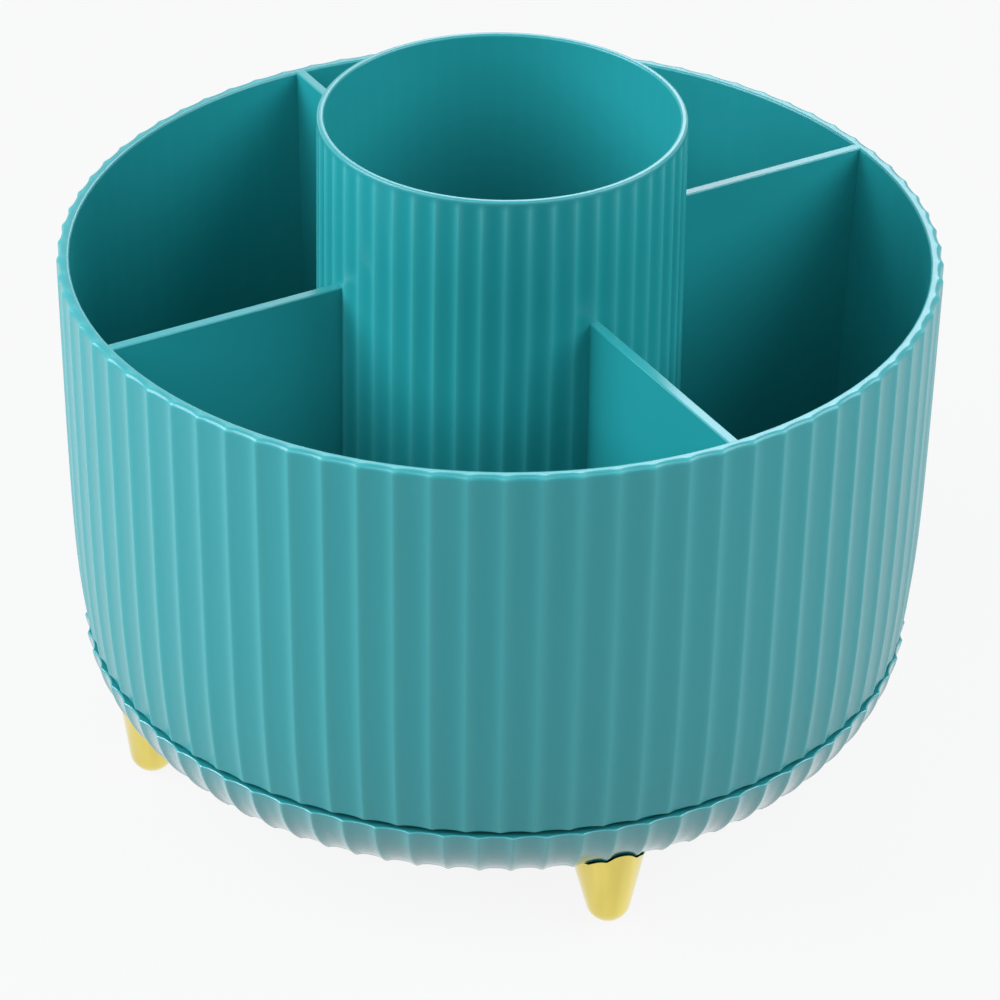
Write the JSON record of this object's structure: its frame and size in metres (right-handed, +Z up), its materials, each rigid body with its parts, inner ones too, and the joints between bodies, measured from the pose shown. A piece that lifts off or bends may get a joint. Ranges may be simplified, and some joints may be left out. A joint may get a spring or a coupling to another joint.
{
  "type": "rotating brush holder",
  "caption": "Round fluted desk organizer with a divided tray and a taller centre cup, turning on ball bearings over a fluted base with splayed metal feet.",
  "frame": {"origin": "on the turning axis, on the floor under the feet", "axes": "+Z up along the turning axis; X and Y along the dividers at rest"},
  "size_m": [0.1682, 0.1682, 0.1355],
  "materials": {
    "teal_plastic": "satin gloss moulded plastic",
    "gold": "polished gold plating",
    "screw_steel": "zinc plated",
    "race_steel": "pressed steel",
    "ball_steel": "polished bearing steel",
    "cage_plastic": "natural plastic",
    "bush_plastic": "natural plastic"
  },
  "bodies": {
    "base_unit": {"base": "teal_plastic", "foot_1": "gold", "foot_2": "gold", "foot_3": "gold", "foot_4": "gold", "foot_screws": "screw_steel", "lower_race": "race_steel", "pivot_bush": "bush_plastic"},
    "turntable": {"tray": "teal_plastic", "upper_race": "race_steel", "pivot_washer": "screw_steel", "pivot_screw": "screw_steel"},
    "ball_ring": {"ball_cage": "cage_plastic", "ball_01": "ball_steel", "ball_02": "ball_steel", "ball_03": "ball_steel", "ball_04": "ball_steel", "ball_05": "ball_steel", "ball_06": "ball_steel", "ball_07": "ball_steel", "ball_08": "ball_steel", "ball_09": "ball_steel", "ball_10": "ball_steel", "ball_11": "ball_steel", "ball_12": "ball_steel"}
  },
  "joints": [
    {"name": "tray_spin", "type": "hinge", "parent": "base_unit", "child": "turntable", "pos_m": [0, 0, 0.02925], "axis": [0, 0, 1], "continuous": true},
    {"name": "cage_spin", "type": "hinge", "parent": "base_unit", "child": "ball_ring", "pos_m": [0, 0, 0.0227], "axis": [0, 0, 1], "continuous": true}
  ],
  "couplings": [
    {"joint": "cage_spin", "follows": "tray_spin", "ratio": 0.5}
  ]
}
